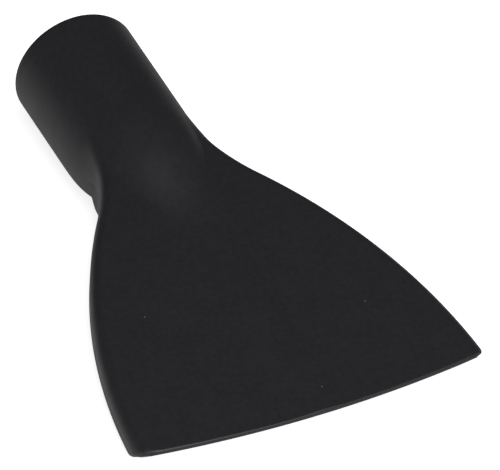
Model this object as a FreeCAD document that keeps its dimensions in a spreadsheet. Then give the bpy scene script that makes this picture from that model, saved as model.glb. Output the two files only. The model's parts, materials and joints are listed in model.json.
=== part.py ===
import FreeCAD, Part
import Sketcher
import math
import os

# Vacuum upholstery nozzle
# One moulded piece: a round socket for the hose or wand, a neck that turns the round
# section into a flat one, and a fan shaped blade with a slanted slot as its mouth.
# The body is drawn along its socket axis: the socket end is at Y = 0 and the mouth at -Y,
# X is to the right and Z is up. "Reach" is the distance from the socket end.
# It is then laid down as it comes to rest, on the neck and the lower lip.

SIZES = {
    # Socket and tube
    "socket_bore": 35.0,
    "socket_depth": 34.0,
    "socket_lead": 0.8,
    "stop_width": 1.0,
    "tube_wall": 2.25,
    "tube_taper": 0.66,
    "end_rounding": 0.4,
    # Plan outline of the blade: a hollow flare runs into a bowed cheek
    "waist_reach": 43.4,
    "waist_width": 31.4,
    "cheek_radius": 163.0,
    "mouth_reach": 160.0,
    "mouth_width": 104.4,
    "mouth_bow": 3.9,
    # Blade, seen from the side
    "plate_height": 7.8,
    "plate_slope": 2.8,
    "blade_depth": 10.4,
    "keel_slope": 0.8,
    "lower_lip_setback": 12.5,
    # Edges of the blade
    "plate_edge_radius": 3.9,
    "keel_edge_radius": 2.2,
    "keel_edge_growth": 7.6,
    # Neck: where each line leaves the tube, and where it has reached the blade
    "neck_start": 36.0,
    "crown_start": 41.0,
    "nose_end": 95.0,
    "nose_tip_width": 18.0,
    "keel_start": 28.5,
    "keel_end": 75.0,
    "blend_width": 4.0,
    # Shell
    "wall": 2.1,
    # Two guide ribs tie the plates together behind the mouth
    "rib_thickness": 1.6,
    "rib_length": 16.0,
    "rib_spacing": 35.0,
    "rib_setback": 6.0,
}

# Steps of the sweep round a section, in degrees
WIDE_STEP = 5.0
FINE_STEP = 0.3
STEP_GROWTH = 0.35
CORNER_ANGLE = 46.5

# Sections along the body
TUBE_SECTIONS = 4
NECK_SECTIONS = 16
BLADE_SECTIONS = 7
EPS = 1e-6

doc = FreeCAD.newDocument("upholstery_nozzle")
sheet = doc.addObject("Spreadsheet::Sheet", "Sizes")
for row, (alias, value) in enumerate(SIZES.items(), start=1):
    sheet.set("A%d" % row, alias)
    sheet.set("B%d" % row, str(value))
    sheet.setAlias("B%d" % row, alias)
doc.recompute()


def size(alias):
    return float(getattr(sheet, alias))


def ease(value, start, end):
    """0 before start, 1 after end, and a curve with no kink between them."""
    u = min(max((value - start) / (end - start), 0.0), 1.0)
    return u * u * u * (u * (6.0 * u - 15.0) + 10.0)


def mix(first, second, share):
    return first + (second - first) * share


def soft_max(first, second, width):
    """The larger of two reaches, with a fillet about as wide as width where they meet."""
    overlap = max(width - abs(first - second), 0.0) / width
    return max(first, second) + overlap ** 3 * width / 6.0


# Lines of the nozzle, each a function of the reach

def tube_radius(reach):
    end_radius = size("socket_bore") / 2.0 + size("tube_wall")
    return end_radius - reach * math.tan(math.radians(size("tube_taper")))


def blade_half_width(reach):
    """Plan outline: an arc hollow to the outside, tangent to the bowed arc of the cheek."""
    waist = size("waist_width") / 2.0
    widest = size("mouth_width") / 2.0
    cheek = size("cheek_radius")
    widest_reach = size("mouth_reach") + size("mouth_bow")
    run = widest_reach - size("waist_reach")
    rise = widest - cheek - waist
    flare = (rise * rise + run * run - cheek * cheek) / (2.0 * (cheek + rise))
    turn = math.atan2(run, waist + flare - (widest - cheek))
    change = size("waist_reach") + flare * math.sin(turn)
    if reach < size("waist_reach"):
        return waist
    if reach < change:
        return waist + flare - math.sqrt(flare ** 2 - (reach - size("waist_reach")) ** 2)
    return widest - cheek + math.sqrt(cheek ** 2 - (reach - widest_reach) ** 2)


def plate_line(reach):
    return size("plate_height") + (size("mouth_reach") - reach) * math.tan(math.radians(size("plate_slope")))


def keel_line(reach):
    lip = size("plate_height") - size("blade_depth")
    return lip - (size("mouth_reach") - reach) * math.tan(math.radians(size("keel_slope")))


def section_lines(reach, inset):
    """Heights, widths and radii of the closed section at one reach, set in by a wall."""
    radius = tube_radius(reach) - inset
    plate = plate_line(reach) - inset
    edge = max(size("plate_edge_radius") - inset, 1.2)
    to_blade = ease(reach, size("neck_start"), size("keel_end"))
    middle = to_blade * (plate_line(reach) - size("plate_edge_radius"))
    crown = mix(radius, plate - 0.6, ease(reach, size("crown_start"), size("nose_end")))
    nose = mix(radius, size("nose_tip_width") / 2.0 - inset, ease(reach, size("neck_start"), size("nose_end") + 4.0))
    keel = mix(-radius, keel_line(reach) + inset, ease(reach, size("keel_start"), size("keel_end")))
    width = blade_half_width(reach) - inset
    grown = size("keel_edge_radius") + size("keel_edge_growth") * (1.0 - ease(reach, size("keel_end"), size("mouth_reach")))
    keel_edge = mix(radius, max(grown - inset, 1.2), ease(reach, size("neck_start"), size("keel_end")))
    return radius, plate, edge, middle, crown, nose, keel, width, keel_edge


def box_reach(across, up, width, height, corner):
    """Distance to the outline of a box with rounded corners along a direction."""
    corner = min(corner, 0.9999 * width, 0.9999 * height)
    across = max(across, EPS)
    up = max(up, EPS)
    reach = min(width / across, height / up)
    if reach * across > width - corner and reach * up > height - corner:
        along = across * (width - corner) + up * (height - corner)
        beyond = (width - corner) ** 2 + (height - corner) ** 2 - corner ** 2
        reach = along + math.sqrt(max(along ** 2 - beyond, 0.0))
    return reach


def sweep_angles():
    """Angles over a quarter turn, closest together where the corners meet the flats."""
    angles = [0.0]
    while angles[-1] < 90.0:
        angles.append(angles[-1] + min(WIDE_STEP, FINE_STEP + STEP_GROWTH * abs(angles[-1] - CORNER_ANGLE)))
    share = 90.0 / angles[-1]
    return [math.radians(angle * share) for angle in angles]


def outline_point(reach, inset, angle, lines):
    """Point of the right half of the section, from -90 degrees at the keel to 90 at the plate."""
    radius, plate, edge, middle, crown, nose, keel, width, keel_edge = lines
    side = soft_max(width, nose, 1.5)
    low = angle < 0.0
    height = middle - keel if low else max(plate, crown) - middle
    run = side * math.cos(angle)
    rise = height * abs(math.sin(angle))
    across = run / math.hypot(run, rise)
    up = rise / math.hypot(run, rise)
    if low:
        distance = box_reach(across, up, side, height, keel_edge)
        return distance * across, middle - distance * up
    flat = box_reach(across, up, width, max(plate - middle, 0.5), edge)
    hump = 1.0 / math.hypot(across / nose, up / max(crown - middle, 0.5))
    blend = EPS + size("blend_width") * ease(reach, size("neck_start") - 2.0, size("neck_start") + 24.0)
    distance = soft_max(flat, hump, blend)
    return distance * across, middle + distance * up


def section_curve(reach, inset):
    """Closed smooth curve through the section. Every section has the same run of parameters."""
    quarter = sweep_angles()
    angles = [-angle for angle in reversed(quarter)] + quarter[1:]
    lines = section_lines(reach, inset)
    right = [outline_point(reach, inset, angle, lines) for angle in angles]
    left = [(-x, z) for x, z in reversed(right[1:-1])]
    loop = [FreeCAD.Vector(x, -reach, z) for x, z in right + left]
    curve = Part.BSplineCurve()
    curve.interpolate(Points=loop, PeriodicFlag=True, Parameters=[float(n) for n in range(len(loop) + 1)])
    return curve


def stations(first, last):
    """Reaches of the sections: closest through the neck, wider on the tube and the blade."""
    edges = [first, max(first, size("keel_start") - 8.0), size("nose_end"), last]
    counts = [TUBE_SECTIONS, NECK_SECTIONS, BLADE_SECTIONS]
    reaches = [first]
    for start, end, count in zip(edges, edges[1:], counts):
        if end - start > EPS:
            reaches += [mix(start, end, (number + 1) / count) for number in range(count)]
    return reaches


def solid_through(reaches, inset_at):
    """Solid with one smooth skin that passes through the section at every reach."""
    rows = [section_curve(reach, inset_at(reach)) for reach in reaches]
    columns = []
    for poles in zip(*(row.getPoles() for row in rows)):
        column = Part.BSplineCurve()
        column.interpolate(Points=list(poles), Parameters=reaches)
        columns.append(column)
    surface = Part.BSplineSurface()
    surface.buildFromPolesMultsKnots(
        [column.getPoles() for column in columns],
        rows[0].getMultiplicities(), columns[0].getMultiplicities(),
        rows[0].getKnots(), columns[0].getKnots(),
        True, False, rows[0].Degree, columns[0].Degree)
    side = surface.toShape()
    rims = [edge for edge in side.Edges if edge.BoundBox.YLength < 0.001]
    shell = Part.makeShell([side] + [Part.Face(Part.Wire([rim])) for rim in rims])
    shell.sewShape()
    return Part.makeSolid(shell)


def duct_inset(reach):
    """The duct starts as the stop ring of the socket and runs out to the plain wall."""
    ring = tube_radius(size("socket_depth")) - size("socket_bore") / 2.0 + size("stop_width")
    return mix(ring, size("wall"), ease(reach, size("socket_depth"), size("keel_end")))


def origin_object(body, role):
    return next(item for item in body.Origin.OriginFeatures if item.Role == role)


def attached_sketch(body, name, plane, offset):
    sketch = body.newObject("Sketcher::SketchObject", name)
    sketch.AttachmentSupport = [(origin_object(body, plane), "")]
    sketch.MapMode = "FlatFace"
    sketch.AttachmentOffset = offset
    return sketch


def bind(sketch, kind, where, expression, value):
    """A dimension of a sketch, tied to the sheet."""
    index = sketch.addConstraint(Sketcher.Constraint(kind, *where, value))
    sketch.setExpression("Constraints[%d]" % index, expression)


def closed_outline(sketch, corners):
    """Straight outline through the corners, closed on itself."""
    vectors = [FreeCAD.Vector(x, y, 0.0) for x, y in corners]
    lines = [Part.LineSegment(a, b) for a, b in zip(vectors, vectors[1:] + vectors[:1])]
    sketch.addGeometry(lines, False)
    for index in range(len(lines)):
        after = (index + 1) % len(lines)
        sketch.addConstraint(Sketcher.Constraint("Coincident", index, 2, after, 1))


# Outer skin and duct

past_mouth = size("mouth_reach") + 2.0 * size("mouth_bow") + 2.0
skin = doc.addObject("Part::Feature", "outer_skin")
skin.Shape = solid_through(stations(0.0, past_mouth), lambda reach: 0.0)
duct = doc.addObject("Part::Feature", "duct")
duct.Shape = solid_through(stations(size("socket_depth") - 2.0, past_mouth + 1.0), duct_inset)
shell = doc.addObject("Part::Cut", "shell")
shell.Base = skin
shell.Tool = duct
doc.recompute()

body = doc.addObject("PartDesign::Body", "nozzle_body")
body.Label = "nozzle_body"
body.BaseFeature = shell
doc.recompute()


# Socket: a bore with a lead-in, down to the stop ring

def make_socket():
    bore = size("socket_bore") / 2.0
    lead = size("socket_lead")
    depth = size("socket_depth")
    sketch = attached_sketch(body, "socket_profile", "XY_Plane", FreeCAD.Placement())
    closed_outline(sketch, [(0.0, 0.0), (bore + lead, 0.0), (bore, -lead), (bore, -depth), (0.0, -depth)])
    sketch.addConstraint(Sketcher.Constraint("Coincident", 0, 1, -1, 1))
    sketch.addConstraint(Sketcher.Constraint("Horizontal", 0))
    sketch.addConstraint(Sketcher.Constraint("Vertical", 2))
    sketch.addConstraint(Sketcher.Constraint("Horizontal", 3))
    sketch.addConstraint(Sketcher.Constraint("Vertical", 4))
    bind(sketch, "DistanceX", (0, 1, 0, 2), "Sizes.socket_bore / 2 + Sizes.socket_lead", bore + lead)
    bind(sketch, "DistanceX", (4, 1, 2, 2), "Sizes.socket_bore / 2", bore)
    bind(sketch, "DistanceY", (1, 2, 1, 1), "Sizes.socket_lead", lead)
    bind(sketch, "DistanceY", (4, 1, 4, 2), "Sizes.socket_depth", depth)
    socket = body.newObject("PartDesign::Groove", "socket")
    socket.Profile = sketch
    socket.ReferenceAxis = (origin_object(body, "Y_Axis"), [""])
    socket.Angle = 360.0
    doc.recompute()
    return socket


# Mouth: both lips end on one bowed cut that leans back under the upper lip

def make_mouth():
    half = size("mouth_width") / 2.0
    bow = size("mouth_bow")
    reach = size("mouth_reach")
    radius = (half * half + bow * bow) / (2.0 * bow)
    side = half + 8.0
    ahead = reach + 40.0
    centre = -(reach + bow) + radius
    corner = centre - math.sqrt(radius * radius - side * side)
    lift = FreeCAD.Placement(FreeCAD.Vector(0.0, 0.0, size("plate_height")), FreeCAD.Rotation())
    sketch = attached_sketch(body, "mouth_profile", "XY_Plane", lift)
    sketch.setExpression("AttachmentOffset.Base.z", "Sizes.plate_height")
    swing = math.asin(side / radius)
    circle = Part.Circle(FreeCAD.Vector(0.0, centre, 0.0), FreeCAD.Vector(0.0, 0.0, 1.0), radius)
    sketch.addGeometry(Part.ArcOfCircle(circle, -math.pi / 2.0 - swing, -math.pi / 2.0 + swing), False)
    corners = [(side, corner), (side, -ahead), (-side, -ahead), (-side, corner)]
    vectors = [FreeCAD.Vector(x, y, 0.0) for x, y in corners]
    for first, second in zip(vectors, vectors[1:]):
        sketch.addGeometry(Part.LineSegment(first, second), False)
    sketch.addConstraint(Sketcher.Constraint("Coincident", 0, 2, 1, 1))
    sketch.addConstraint(Sketcher.Constraint("Coincident", 1, 2, 2, 1))
    sketch.addConstraint(Sketcher.Constraint("Coincident", 2, 2, 3, 1))
    sketch.addConstraint(Sketcher.Constraint("Coincident", 3, 2, 0, 1))
    sketch.addConstraint(Sketcher.Constraint("Vertical", 1))
    sketch.addConstraint(Sketcher.Constraint("Horizontal", 2))
    sketch.addConstraint(Sketcher.Constraint("Vertical", 3))
    sketch.addConstraint(Sketcher.Constraint("PointOnObject", 0, 3, -2))
    radius_rule = "(Sizes.mouth_width ^ 2 / 4 + Sizes.mouth_bow ^ 2) / (2 * Sizes.mouth_bow)"
    bind(sketch, "Radius", (0,), radius_rule, radius)
    bind(sketch, "DistanceY", (-1, 1, 0, 3), "%s - Sizes.mouth_reach - Sizes.mouth_bow" % radius_rule, centre)
    bind(sketch, "DistanceX", (-1, 1, 1, 1), "Sizes.mouth_width / 2 + 8", side)
    bind(sketch, "DistanceX", (3, 1, -1, 1), "Sizes.mouth_width / 2 + 8", side)
    bind(sketch, "DistanceY", (1, 2, -1, 1), "Sizes.mouth_reach + 40", ahead)
    mouth = body.newObject("PartDesign::Pocket", "mouth")
    mouth.Profile = sketch
    mouth.UseCustomVector = True
    mouth.Direction = FreeCAD.Vector(0.0, size("lower_lip_setback"), -size("blade_depth"))
    mouth.Type = "Length"
    mouth.Length = 60.0
    if hasattr(mouth, "SideType"):
        mouth.SideType = "Symmetric"
    else:
        mouth.Midplane = True
    doc.recompute()
    return mouth


# Ribs: thin plates along the flow, from the keel plate to the top plate

def make_ribs():
    front = size("mouth_reach") - size("lower_lip_setback") - size("rib_setback")
    back = front - size("rib_length")
    bite = size("wall") / 2.0
    corners = [(-reach, height) for reach, height in (
        (front, keel_line(front) + bite), (back, keel_line(back) + bite),
        (back, plate_line(back) - bite), (front, plate_line(front) - bite))]
    shift = FreeCAD.Placement(FreeCAD.Vector(0.0, 0.0, size("rib_spacing") / 2.0), FreeCAD.Rotation())
    sketch = attached_sketch(body, "rib_profile", "YZ_Plane", shift)
    sketch.setExpression("AttachmentOffset.Base.z", "Sizes.rib_spacing / 2")
    closed_outline(sketch, corners)
    front_rule = "(Sizes.mouth_reach - Sizes.lower_lip_setback - Sizes.rib_setback)"
    plate_rule = "Sizes.plate_height + (Sizes.mouth_reach - %s) * tan(Sizes.plate_slope * 1 deg) - Sizes.wall / 2"
    keel_rule = "Sizes.plate_height - Sizes.blade_depth - (Sizes.mouth_reach - %s) * tan(Sizes.keel_slope * 1 deg)"
    keel_rule += " + Sizes.wall / 2"
    for corner, (along, height) in enumerate(corners):
        reach_rule = front_rule if corner in (0, 3) else "(%s - Sizes.rib_length)" % front_rule
        height_rule = (keel_rule if corner < 2 else plate_rule) % reach_rule
        bind(sketch, "DistanceX", (corner, 1, -1, 1), reach_rule, -along)
        if height < 0.0:
            bind(sketch, "DistanceY", (corner, 1, -1, 1), "-(%s)" % height_rule, -height)
        else:
            bind(sketch, "DistanceY", (-1, 1, corner, 1), height_rule, height)
    rib = body.newObject("PartDesign::Pad", "rib")
    rib.Profile = sketch
    rib.Length = size("rib_thickness")
    rib.setExpression("Length", "Sizes.rib_thickness")
    rib.SideType = "Symmetric"
    doc.recompute()
    ribs = body.newObject("PartDesign::Mirrored", "ribs")
    ribs.Originals = [rib]
    ribs.MirrorPlane = (origin_object(body, "YZ_Plane"), [""])
    body.Tip = ribs
    doc.recompute()
    return ribs


def round_tube_end(base):
    outer = size("socket_bore") / 2.0 + size("socket_lead") + 0.2
    edges = ["Edge%d" % number for number, edge in enumerate(base.Shape.Edges, start=1)
             if edge.BoundBox.YLength < 0.001 and edge.BoundBox.YMax > -0.001 and edge.BoundBox.XMax > outer]
    rim = body.newObject("PartDesign::Fillet", "tube_end")
    rim.Base = (base, edges)
    rim.Radius = size("end_rounding")
    rim.setExpression("Radius", "Sizes.end_rounding")
    doc.recompute()
    return rim


# Rest: the body turns about X until the neck and the lower lip both touch the table

def resting_place(shape):
    points = shape.tessellate(0.1)[0]
    hull = []
    for point in sorted({(round(point.y, 4), round(point.z, 4)) for point in points}):
        while len(hull) > 1:
            (y0, z0), (y1, z1) = hull[-2:]
            if (y1 - y0) * (point[1] - z0) - (z1 - z0) * (point[0] - y0) > 0.0:
                break
            hull.pop()
        hull.append(point)
    weight = shape.Solids[0].CenterOfMass.y
    front, back = next(pair for pair in zip(hull, hull[1:]) if pair[0][0] <= weight <= pair[1][0])
    tilt = -math.degrees(math.atan2(back[1] - front[1], back[0] - front[0]))
    turn = FreeCAD.Rotation(FreeCAD.Vector(1.0, 0.0, 0.0), tilt)
    turned = [turn.multVec(point) for point in points]
    middle = (min(point.y for point in turned) + max(point.y for point in turned)) / 2.0
    low = min(point.z for point in turned)
    return FreeCAD.Placement(FreeCAD.Vector(0.0, -middle, -low), turn)


socket = make_socket()
mouth = make_mouth()
ribs = make_ribs()
body.Tip = round_tube_end(ribs)
doc.recompute()
body.Placement = resting_place(body.Shape)
doc.recompute()


# Check and write

for item in doc.Objects:
    if "Invalid" in item.State or "Error" in item.State:
        raise RuntimeError("%s failed: %s" % (item.Name, item.State))
steps = (shell, socket, mouth, ribs, body)
for item in steps:
    if item.Shape.isNull() or not item.Shape.isValid() or len(item.Shape.Solids) != 1:
        raise RuntimeError("%s has no single valid solid" % item.Name)
if not shell.Shape.Volume > socket.Shape.Volume > mouth.Shape.Volume < ribs.Shape.Volume:
    raise RuntimeError("a cut or a rib missed the body")

os.makedirs("parts", exist_ok=True)
body.Shape.exportStep("parts/%s.step" % body.Label)
print("rests turned by %.2f degrees" % math.degrees(body.Placement.Rotation.Angle))
print("place", body.Placement.Base)
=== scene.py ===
import json
import math

import bpy
from mathutils import Matrix, Vector


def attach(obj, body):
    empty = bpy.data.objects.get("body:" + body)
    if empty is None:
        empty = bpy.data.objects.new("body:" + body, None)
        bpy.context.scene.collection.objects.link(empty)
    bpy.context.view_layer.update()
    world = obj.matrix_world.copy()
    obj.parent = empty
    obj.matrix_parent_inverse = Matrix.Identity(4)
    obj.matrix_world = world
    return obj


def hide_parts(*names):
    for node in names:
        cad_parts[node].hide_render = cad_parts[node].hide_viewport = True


# Vacuum upholstery nozzle in matte black plastic, lying on a white table.
# The moulding is drawn in millimetres along its socket axis, as in the part's source:
# the socket end is at Y = 0, the mouth at -Y, X to the right and Z up.
# "Reach" is the distance from the socket end, "inset" the depth under the outer skin.

MM = 0.001
TINY = 1e-6

# Socket and tube
SOCKET_BORE = 35.0
SOCKET_DEPTH = 34.0
SOCKET_LEAD = 0.8
STOP_WIDTH = 1.0
STOP_CHAMFER = 0.2
LEAD_CHAMFER = 0.1
TUBE_WALL = 2.25
TUBE_TAPER = 0.66
END_ROUNDING = 0.4

# Plan outline of the blade
WAIST_REACH = 39.2
WAIST_WIDTH = 31.3
CHEEK_RADIUS = 164.8
MOUTH_REACH = 159.5
MOUTH_WIDTH = 104.3
MOUTH_BOW = 3.7
CORNER_RADIUS = 2.2

# Blade, seen from the side
PLATE_HEIGHT = 7.59
PLATE_SLOPE = 2.42
BLADE_DEPTH = 9.6
KEEL_SLOPE = 0.97
LIP_FACE = 1.3
LOWER_LIP_SETBACK = 7.8

# Edges of the blade
PLATE_EDGE_RADIUS = 3.9
KEEL_EDGE_RADIUS = 4.5
KEEL_EDGE_GROWTH = 0.7
LEAST_RADIUS = 1.2
LEAST_HEIGHT = 0.5
FULLEST_CORNER = 0.9999

# Neck: where each line leaves the tube and has reached the blade, and how the lines blend
NECK_START = 33.7
NECK_END = 79.0
PLATE_START = 20.0
PLATE_END = 44.0
CROWN_START = 40.5
CROWN_DROP = 0.6
NOSE_END = 99.9
NOSE_TIP_WIDTH = 19.1
KEEL_START = 28.1
KEEL_END = 78.1
KEEL_EDGE_START = 46.7
KEEL_EDGE_END = 56.9
SIDE_BLEND = 1.5
BLEND_WIDTH = 4.0
BLEND_END = 55.0

# Shell and lips
WALL = 2.1
LIP_ROUNDING = 0.5
INNER_ROUNDING = 0.4

# Ribs
RIB_THICKNESS = 1.6
RIB_LENGTH = 16.0
RIB_SPACING = 35.0
RIB_SETBACK = 6.0
RIB_ROUNDING = 0.4
RIB_SEGMENTS = 3

# Density of the mesh: angles in degrees, lengths in millimetres, and counts and shares
ANGLE_STEP = 4.0
CORNER_STEP = 0.5
STEP_GROWTH = 0.16
CORNER_ANGLE = 46.5
ROW_STEP = 1.3
LEAN_LENGTH = 60.0
CORNER_ROWS = 6
STRIP_ROWS = 6
ROUND_ROWS = 5
BORE_SHARES = (0.75, 0.5, 0.25)
END_MIDDLE = 0.3
LIP_SEARCH_STEPS = 12


def ease(value, start, end):
    """0 before start, 1 after end, and a curve with no kink between them."""
    share = min(max((value - start) / (end - start), 0.0), 1.0)
    return share * share * share * (share * (6.0 * share - 15.0) + 10.0)


def mix(first, second, share):
    return first + (second - first) * share


def soft_max(first, second, width):
    """The larger of two lengths, with a fillet about as wide as width where they meet."""
    overlap = max(width - abs(first - second), 0.0) / width
    return max(first, second) + overlap ** 3 * width / 6.0


# Lines of the nozzle, each a function of the reach

def tube_radius(reach):
    return SOCKET_BORE / 2.0 + TUBE_WALL - reach * math.tan(math.radians(TUBE_TAPER))


def blade_half_width(reach):
    """Straight up to the waist, then one hollow arc that runs into the arc of the cheek."""
    waist = WAIST_WIDTH / 2.0
    widest = MOUTH_WIDTH / 2.0
    widest_reach = MOUTH_REACH + MOUTH_BOW
    run = widest_reach - WAIST_REACH
    rise = widest - CHEEK_RADIUS - waist
    flare = (rise * rise + run * run - CHEEK_RADIUS ** 2) / (2.0 * (CHEEK_RADIUS + rise))
    turn = math.atan2(run, waist + flare - (widest - CHEEK_RADIUS))
    if reach < WAIST_REACH:
        return waist
    if reach < WAIST_REACH + flare * math.sin(turn):
        return waist + flare - math.sqrt(flare ** 2 - (reach - WAIST_REACH) ** 2)
    return widest - CHEEK_RADIUS + math.sqrt(CHEEK_RADIUS ** 2 - (reach - widest_reach) ** 2)


def plate_line(reach):
    return PLATE_HEIGHT + (MOUTH_REACH - reach) * math.tan(math.radians(PLATE_SLOPE))


def keel_line(reach):
    return PLATE_HEIGHT - BLADE_DEPTH - (MOUTH_REACH - reach) * math.tan(math.radians(KEEL_SLOPE))


def no_inset(reach):
    return 0.0


def duct_inset(reach):
    """The duct starts as the stop ring of the socket and runs out to the plain wall."""
    ring = tube_radius(SOCKET_DEPTH) - SOCKET_BORE / 2.0 + STOP_WIDTH
    return mix(ring, WALL, ease(reach, SOCKET_DEPTH, NECK_END))


def box_distance(across, up, width, height, corner):
    """Distance to the outline of a box with rounded corners, along a direction from its middle."""
    corner = min(corner, FULLEST_CORNER * width, FULLEST_CORNER * height)
    across = max(across, TINY)
    up = max(up, TINY)
    distance = min(width / across, height / up)
    if distance * across > width - corner and distance * up > height - corner:
        along = across * (width - corner) + up * (height - corner)
        beyond = (width - corner) ** 2 + (height - corner) ** 2 - corner ** 2
        distance = along + math.sqrt(max(along ** 2 - beyond, 0.0))
    return distance


def skin_point(reach, inset, angle):
    """Point of the right half of the section, from -90 degrees at the keel to 90 at the plate."""
    radius = tube_radius(reach) - inset
    plate = plate_line(reach) - inset
    middle = ease(reach, NECK_START, NECK_END) * (plate_line(reach) - PLATE_EDGE_RADIUS)
    crown = mix(radius, plate - CROWN_DROP, ease(reach, CROWN_START, NOSE_END))
    nose = mix(radius, NOSE_TIP_WIDTH / 2.0 - inset, ease(reach, NECK_START, NOSE_END))
    width = blade_half_width(reach) - inset
    side = soft_max(width, nose, SIDE_BLEND)
    if angle < 0.0:
        keel = mix(-radius, keel_line(reach) + inset, ease(reach, KEEL_START, KEEL_END))
        growth = KEEL_EDGE_GROWTH * (1.0 - ease(reach, NECK_END, MOUTH_REACH))
        edge = max(KEEL_EDGE_RADIUS + growth - inset, LEAST_RADIUS)
        edge = mix(radius, edge, ease(reach, KEEL_EDGE_START, KEEL_EDGE_END))
        height = middle - keel
    else:
        edge = max(PLATE_EDGE_RADIUS - inset, LEAST_RADIUS)
        edge = mix(radius, edge, ease(reach, PLATE_START, PLATE_END))
        height = max(plate, crown) - middle
    run = side * math.cos(angle)
    rise = height * abs(math.sin(angle))
    across = run / math.hypot(run, rise)
    up = rise / math.hypot(run, rise)
    if angle < 0.0:
        distance = box_distance(across, up, side, height, edge)
        return distance * across, middle - distance * up
    flat = box_distance(across, up, width, max(plate - middle, LEAST_HEIGHT), edge)
    hump = 1.0 / math.hypot(across / nose, up / max(crown - middle, LEAST_HEIGHT))
    blend = TINY + BLEND_WIDTH * ease(reach, NECK_START, BLEND_END)
    distance = soft_max(flat, hump, blend)
    return distance * across, middle + distance * up


def mouth_cut(x, z):
    """Reach of the mouth: a blunt face under the upper lip, then a cut that leans back."""
    half = MOUTH_WIDTH / 2.0
    radius = (half * half + MOUTH_BOW ** 2) / (2.0 * MOUTH_BOW)
    front = MOUTH_REACH + MOUTH_BOW - radius + math.sqrt(radius ** 2 - x * x)
    lean = LOWER_LIP_SETBACK / (BLADE_DEPTH - LIP_FACE)
    return front - lean * max(PLATE_HEIGHT - LIP_FACE - z, 0.0)


def sweep_angles():
    """Angles of one quarter turn, closest together where the corners of the blade are."""
    angles = [0.0]
    while angles[-1] < 90.0:
        step = CORNER_STEP + STEP_GROWTH * abs(angles[-1] - CORNER_ANGLE)
        angles.append(angles[-1] + min(ANGLE_STEP, step))
    return [math.radians(angle * 90.0 / angles[-1]) for angle in angles]


def lip_reach(inset_at, angle):
    """Reach at which one line of the skin runs into the cut of the mouth."""
    reach = MOUTH_REACH
    for _ in range(LIP_SEARCH_STEPS):
        reach = mouth_cut(*skin_point(reach, inset_at(reach), angle))
    return reach


def corner_narrowing(distance, radius):
    """How much narrower the blade gets over the round corners at the ends of the mouth."""
    run = max(radius - distance, 0.0)
    return radius - math.sqrt(radius ** 2 - run ** 2)


def place_on_skin(inset_at, angle, reach, lip):
    """Point of the skin at one reach, before its lip or on it."""
    x, z = skin_point(reach, inset_at(reach), angle)
    radius = max(CORNER_RADIUS - inset_at(lip), LEAST_RADIUS)
    narrowing = corner_narrowing(lip - reach, radius)
    return Vector((x * (1.0 - narrowing / (MOUTH_WIDTH / 2.0 - inset_at(lip))), -reach, z))


def skin_line(inset_at, angle, first, lip, stop):
    """Points of the skin from one reach to just before the lip, at one angle of the sweep."""
    lean_start = MOUTH_REACH - LEAN_LENGTH
    corner_start = lip - CORNER_RADIUS
    count = int((lean_start - first) / ROW_STEP)
    reaches = [mix(first, lean_start, row / count) for row in range(count)]
    count = int(LEAN_LENGTH / ROW_STEP)
    reaches += [mix(lean_start, corner_start, row / count) for row in range(count)]
    for row in range(CORNER_ROWS + 1):
        share = math.sin(math.pi / 2.0 * row / CORNER_ROWS)
        reaches.append(mix(corner_start, lip - stop, share))
    return [place_on_skin(inset_at, angle, reach, lip) for reach in reaches]


def rounding(before, corner, after, rows):
    """Curve that leaves one line, passes under the corner and joins the next line."""
    shares = [(row + 1) / (rows + 1) for row in range(rows)]
    return [before * (1 - t) ** 2 + corner * 2 * t * (1 - t) + after * t * t for t in shares]


def socket_rings():
    """Radius and reach of each ring from the stop ring out along the bore and round the end."""
    bore = SOCKET_BORE / 2.0
    rim = tube_radius(0.0)
    rings = [
        (bore - STOP_WIDTH / 2.0, SOCKET_DEPTH),
        (bore - STOP_CHAMFER, SOCKET_DEPTH),
        (bore, SOCKET_DEPTH - STOP_CHAMFER)]
    rings += [(bore, SOCKET_DEPTH * share) for share in BORE_SHARES]
    rings += [
        (bore, SOCKET_LEAD + LEAD_CHAMFER),
        (bore + LEAD_CHAMFER, SOCKET_LEAD - LEAD_CHAMFER),
        (bore + SOCKET_LEAD - LEAD_CHAMFER, LEAD_CHAMFER),
        (bore + SOCKET_LEAD + LEAD_CHAMFER, 0.0),
        (rim - END_ROUNDING, 0.0),
        (rim - END_ROUNDING * END_MIDDLE, END_ROUNDING * END_MIDDLE)]
    return rings


def profile(angle):
    """One closed line round the wall: outer skin, lip, duct, stop ring, bore and tube end."""
    outer_lip = lip_reach(no_inset, angle)
    inner_lip = lip_reach(duct_inset, angle)
    outer = skin_line(no_inset, angle, END_ROUNDING, outer_lip, LIP_ROUNDING)
    inner = skin_line(duct_inset, angle, SOCKET_DEPTH, inner_lip, INNER_ROUNDING)
    outer_corner = place_on_skin(no_inset, angle, outer_lip, outer_lip)
    inner_corner = place_on_skin(duct_inset, angle, inner_lip, inner_lip)
    width = (inner_corner - outer_corner).length
    strip = []
    for row in range(STRIP_ROWS + 1):
        share = mix(LIP_ROUNDING / width, 1.0 - INNER_ROUNDING / width, row / STRIP_ROWS)
        point = outer_corner.lerp(inner_corner, share)
        strip.append(Vector((point.x, -mouth_cut(point.x, point.z), point.z)))
    line = outer
    line += rounding(outer[-1], outer_corner, strip[0], ROUND_ROWS)
    line += strip
    line += rounding(strip[-1], inner_corner, inner[-1], ROUND_ROWS)
    line += reversed(inner)
    for radius, reach in socket_rings():
        line.append(Vector((radius * math.cos(angle), -reach, radius * math.sin(angle))))
    return line


def resting_place(record):
    """From the drawing's axes to the row frame, by the place of the socket in the record."""
    socket = next(mount for mount in record["mounts"] if mount["name"] == "socket")
    axis = Vector(socket["axis"])
    middle = (SOCKET_DEPTH + SOCKET_LEAD) / 2.0 * MM
    turn = Matrix.Rotation(math.atan2(axis.z, axis.y), 4, "X")
    return Matrix.Translation(Vector(socket["pos_m"]) + axis * middle) @ turn @ Matrix.Scale(MM, 4)


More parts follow.
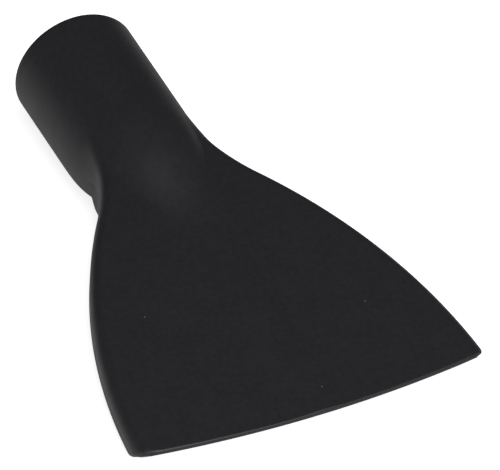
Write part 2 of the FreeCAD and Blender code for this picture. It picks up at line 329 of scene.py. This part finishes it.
def add_mesh(name, vertices, faces, place, material):
    mesh = bpy.data.meshes.new(name)
    mesh.from_pydata([place @ vertex for vertex in vertices], [], faces)
    mesh.update()
    mesh.materials.append(material)
    mesh.shade_smooth()
    piece = bpy.data.objects.new(name, mesh)
    bpy.context.collection.objects.link(piece)
    return piece


def nozzle_shell(place, material):
    """The whole wall as one closed skin of quads."""
    quarter = sweep_angles()
    right = [profile(angle) for angle in [-a for a in reversed(quarter)] + quarter[1:]]
    mirror = Matrix.Scale(-1.0, 4, (1.0, 0.0, 0.0))
    lines = right + [[mirror @ point for point in line] for line in reversed(right[1:-1])]
    rows = len(lines[0])
    vertices = [point for line in lines for point in line]
    faces = []
    for column in range(len(lines)):
        after = (column + 1) % len(lines)
        for row in range(rows):
            up = (row + 1) % rows
            faces.append((column * rows + row, column * rows + up, after * rows + up, after * rows + row))
    return add_mesh("nozzle_shell", vertices, faces, place, material)


def guide_ribs(place, material):
    """Two thin plates along the flow that tie the lips together behind the mouth."""
    front = MOUTH_REACH - LOWER_LIP_SETBACK - RIB_SETBACK
    back = front - RIB_LENGTH
    bite = WALL / 2.0
    side = [(-reach, height) for reach, height in (
        (front, keel_line(front) + bite), (back, keel_line(back) + bite),
        (back, plate_line(back) - bite), (front, plate_line(front) - bite))]
    corners = len(side)
    plate_faces = [(3, 2, 1, 0), (4, 5, 6, 7)]
    for corner in range(corners):
        after = (corner + 1) % corners
        plate_faces.append((corner, after, after + corners, corner + corners))
    vertices = []
    faces = []
    for sign in (-1.0, 1.0):
        first = len(vertices)
        middle = sign * RIB_SPACING / 2.0
        for x in (middle - RIB_THICKNESS / 2.0, middle + RIB_THICKNESS / 2.0):
            vertices += [Vector((x, y, z)) for y, z in side]
        for face in plate_faces:
            faces.append(tuple(first + corner for corner in face))
    ribs = add_mesh("guide_ribs", vertices, faces, place, material)
    bevel = ribs.modifiers.new("edges", "BEVEL")
    bevel.width = RIB_ROUNDING * MM
    bevel.segments = RIB_SEGMENTS
    return ribs


# Looks: lengths in metres, and the scales of noise and specks in cells per metre
PLASTIC_IOR = 1.42
PLASTIC_DARK = (0.0122, 0.0119, 0.0141, 1.0)
PLASTIC_LIGHT = (0.0162, 0.0157, 0.0187, 1.0)
MOTTLE_SCALE = 700.0
MOTTLE_DETAIL = 4.0
ROUGHNESS = (0.45, 0.51)
ROUGHNESS_SCALE = 140.0
ROUGHNESS_DETAIL = 3.0
DUST_COLOUR = (0.16, 0.16, 0.17, 1.0)
DUST_SCALE = 70.0
DUST_SIZE = 0.012
GRAIN_SCALE = 3200.0
GRAIN_DETAIL = 2.0
GRAIN_STRENGTH = 0.35
GRAIN_HEIGHT = 0.00004
NOISE_LOW = 0.3
NOISE_HIGH = 0.7
TABLE_COLOUR = (0.8, 0.8, 0.8, 1.0)
TABLE_GLOW = 0.8
TABLE_SIZE = 6.0


def black_plastic():
    """Matte black moulded plastic with a fine grain, faint clouding and a few specks of dust."""
    material = bpy.data.materials.new("black_plastic")
    material.use_nodes = True
    nodes = material.node_tree.nodes
    links = material.node_tree.links
    shader = nodes["Principled BSDF"]
    shader.inputs["IOR"].default_value = PLASTIC_IOR
    coordinates = nodes.new("ShaderNodeTexCoord").outputs["Object"]

    def noise(scale, detail):
        node = nodes.new("ShaderNodeTexNoise")
        node.inputs["Scale"].default_value = scale
        node.inputs["Detail"].default_value = detail
        links.new(coordinates, node.inputs["Vector"])
        return node.outputs["Fac"]

    def spread(value, low, high):
        node = nodes.new("ShaderNodeMapRange")
        node.inputs["From Min"].default_value = NOISE_LOW
        node.inputs["From Max"].default_value = NOISE_HIGH
        node.inputs["To Min"].default_value = low
        node.inputs["To Max"].default_value = high
        links.new(value, node.inputs["Value"])
        return node.outputs["Result"]

    mottle = noise(MOTTLE_SCALE, MOTTLE_DETAIL)
    colour = nodes.new("ShaderNodeMix")
    colour.data_type = "RGBA"
    colour.inputs["A"].default_value = PLASTIC_DARK
    colour.inputs["B"].default_value = PLASTIC_LIGHT
    links.new(spread(mottle, 0.0, 1.0), colour.inputs["Factor"])

    specks = nodes.new("ShaderNodeTexVoronoi")
    specks.inputs["Scale"].default_value = DUST_SCALE
    links.new(coordinates, specks.inputs["Vector"])
    near = nodes.new("ShaderNodeMath")
    near.operation = "LESS_THAN"
    near.inputs[1].default_value = DUST_SIZE
    links.new(specks.outputs["Distance"], near.inputs[0])
    dusty = nodes.new("ShaderNodeMix")
    dusty.data_type = "RGBA"
    dusty.inputs["B"].default_value = DUST_COLOUR
    links.new(near.outputs["Value"], dusty.inputs["Factor"])
    links.new(colour.outputs["Result"], dusty.inputs["A"])
    links.new(dusty.outputs["Result"], shader.inputs["Base Color"])

    roughness = spread(noise(ROUGHNESS_SCALE, ROUGHNESS_DETAIL), *ROUGHNESS)
    links.new(roughness, shader.inputs["Roughness"])
    grain = nodes.new("ShaderNodeBump")
    grain.inputs["Strength"].default_value = GRAIN_STRENGTH
    grain.inputs["Distance"].default_value = GRAIN_HEIGHT
    links.new(noise(GRAIN_SCALE, GRAIN_DETAIL), grain.inputs["Height"])
    links.new(grain.outputs["Normal"], shader.inputs["Normal"])
    return material


def white_table():
    """Soft white floor: it glows for the camera, and keeps the shadow."""
    material = bpy.data.materials.new("white_table")
    material.use_nodes = True
    nodes = material.node_tree.nodes
    links = material.node_tree.links
    nodes.clear()
    paper = nodes.new("ShaderNodeBsdfDiffuse")
    paper.inputs["Color"].default_value = TABLE_COLOUR
    glow = nodes.new("ShaderNodeEmission")
    rays = nodes.new("ShaderNodeLightPath")
    share = nodes.new("ShaderNodeMath")
    share.operation = "MULTIPLY"
    share.inputs[1].default_value = TABLE_GLOW
    links.new(rays.outputs["Is Camera Ray"], share.inputs[0])
    links.new(share.outputs["Value"], glow.inputs["Strength"])
    both = nodes.new("ShaderNodeAddShader")
    links.new(paper.outputs["BSDF"], both.inputs[0])
    links.new(glow.outputs["Emission"], both.inputs[1])
    links.new(both.outputs["Shader"], nodes.new("ShaderNodeOutputMaterial").inputs["Surface"])
    return material


def add_floor():
    bpy.ops.mesh.primitive_plane_add(size=TABLE_SIZE)
    floor = bpy.context.object
    floor.name = "table"
    floor.data.materials.append(white_table())


def add_softbox(name, place, width, height, power):
    """Rectangular lamp that faces the origin, in metres and watts."""
    light = bpy.data.lights.new(name, "AREA")
    light.shape = "RECTANGLE"
    light.size = width
    light.size_y = height
    light.energy = power
    lamp = bpy.data.objects.new(name, light)
    lamp.location = place
    lamp.rotation_euler = (Vector((0.0, 0.0, 0.0)) - Vector(place)).to_track_quat("-Z", "Y").to_euler()
    bpy.context.collection.objects.link(lamp)


def add_world(strength):
    world = bpy.data.worlds.new("studio")
    world.use_nodes = True
    world.node_tree.nodes["Background"].inputs["Color"].default_value = (1.0, 1.0, 1.0, 1.0)
    world.node_tree.nodes["Background"].inputs["Strength"].default_value = strength
    bpy.context.scene.world = world


# Camera, fitted with the sizes to the nozzle's outline in the photograph, in millimetres and degrees
CAMERA_AIM = Vector((11.98, -14.13, 18.0))
CAMERA_DISTANCE = 752.53
CAMERA_AZIMUTH = -27.52
CAMERA_ELEVATION = 35.08
CAMERA_ROLL = 1.396
CAMERA_LENS = 192.84
SENSOR_WIDTH = 36.0
CLIP_START = 50.0
CLIP_END = 20000.0


def add_camera():
    azimuth = math.radians(CAMERA_AZIMUTH)
    elevation = math.radians(CAMERA_ELEVATION)
    back = Vector((
        math.sin(azimuth) * math.cos(elevation),
        -math.cos(azimuth) * math.cos(elevation),
        math.sin(elevation)))
    right = Vector((0.0, 0.0, 1.0)).cross(back).normalized()
    turn = Matrix((right, back.cross(right), back)).transposed().to_4x4()
    data = bpy.data.cameras.new("camera")
    data.lens = CAMERA_LENS
    data.sensor_width = SENSOR_WIDTH
    data.sensor_fit = "HORIZONTAL"
    data.clip_start = CLIP_START * MM
    data.clip_end = CLIP_END * MM
    camera = bpy.data.objects.new("camera", data)
    roll = Matrix.Rotation(math.radians(CAMERA_ROLL), 4, "Z")
    place = (CAMERA_AIM + back * CAMERA_DISTANCE) * MM
    camera.matrix_world = Matrix.Translation(place) @ turn @ roll
    bpy.context.collection.objects.link(camera)
    bpy.context.scene.camera = camera


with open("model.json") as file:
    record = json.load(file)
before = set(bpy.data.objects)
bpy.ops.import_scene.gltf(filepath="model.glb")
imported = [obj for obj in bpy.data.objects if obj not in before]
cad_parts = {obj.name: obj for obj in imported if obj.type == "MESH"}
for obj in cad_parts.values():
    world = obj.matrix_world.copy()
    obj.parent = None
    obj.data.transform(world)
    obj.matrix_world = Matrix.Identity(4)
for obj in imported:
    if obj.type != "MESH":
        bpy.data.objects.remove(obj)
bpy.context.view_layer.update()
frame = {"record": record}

place = resting_place(frame["record"])
plastic = black_plastic()
shell = nozzle_shell(place, plastic)
ribs = guide_ribs(place, plastic)
for piece in (shell, ribs):
    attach(piece, "root")
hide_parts("nozzle_body")

add_floor()
add_world(strength=0.07)
add_softbox("left_window", place=(-1.3, 0.0, 0.2), width=0.8, height=0.35, power=2.5)
add_softbox("ceiling", place=(-0.1, -1.2, 1.2), width=1.2, height=1.2, power=33)
add_camera()
bpy.context.scene.view_settings.view_transform = "Standard"
